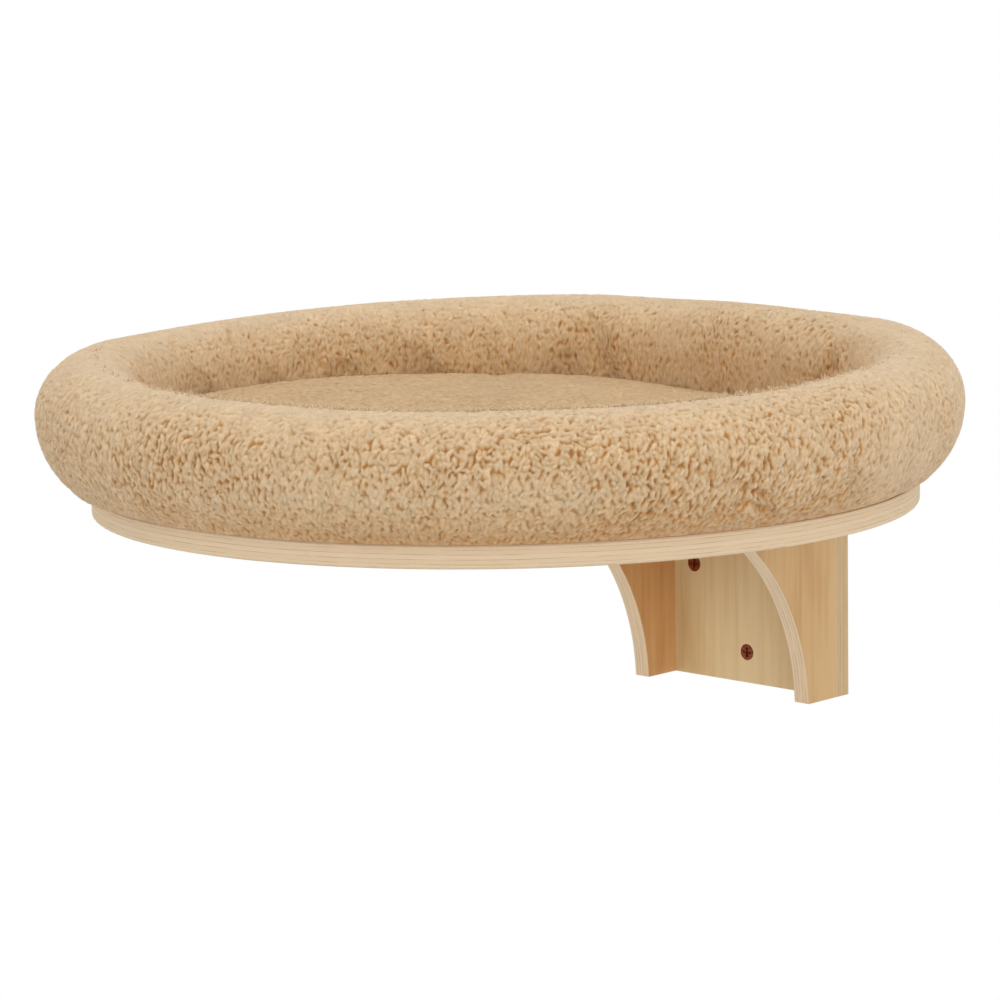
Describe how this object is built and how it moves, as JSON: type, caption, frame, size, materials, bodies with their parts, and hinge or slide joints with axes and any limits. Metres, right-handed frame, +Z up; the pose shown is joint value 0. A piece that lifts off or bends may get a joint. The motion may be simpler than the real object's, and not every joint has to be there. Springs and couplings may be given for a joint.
{
  "type": "wall-mounted cat perch",
  "caption": "Round plywood seat on a two-gusset wall bracket, with a lift-off ring-shaped plush bed.",
  "frame": {"origin": "middle of the wall plate's back face, midway between the two upper wall screws", "axes": "+Z up, +Y into the wall, +X to the right along the wall for someone facing it"},
  "size_m": [0.426, 0.4224, 0.1883],
  "materials": {
    "plywood": "pale birch plywood, sanded, clear matt",
    "wall_screw_steel": "bronze-brown coated steel",
    "wood_screw_steel": "zinc-plated steel",
    "plush": "tan curly plush fleece",
    "filling": "white polyester fibre",
    "bottom_fabric": "plain woven tan cloth",
    "fastener_tape": "off-white hook-and-loop tape"
  },
  "bodies": {
    "perch": {"wall_plate": "plywood", "left_gusset": "plywood", "right_gusset": "plywood", "seat_board": "plywood", "wall_screws": "wall_screw_steel", "seat_screws": "wood_screw_steel", "gusset_screws": "wood_screw_steel", "hook_rounds": "fastener_tape"},
    "bed": {"loop_rounds": "fastener_tape", "bottom_cloth": "bottom_fabric", "pad_cover": "plush", "pad_filling": "filling", "bolster_cover": "plush", "bolster_filling": "filling"}
  },
  "joints": [
    {"name": "bed_lift", "type": "slide", "parent": "perch", "child": "bed", "axis": [0, 0, 1], "range_m": [0, 0.12]}
  ]
}
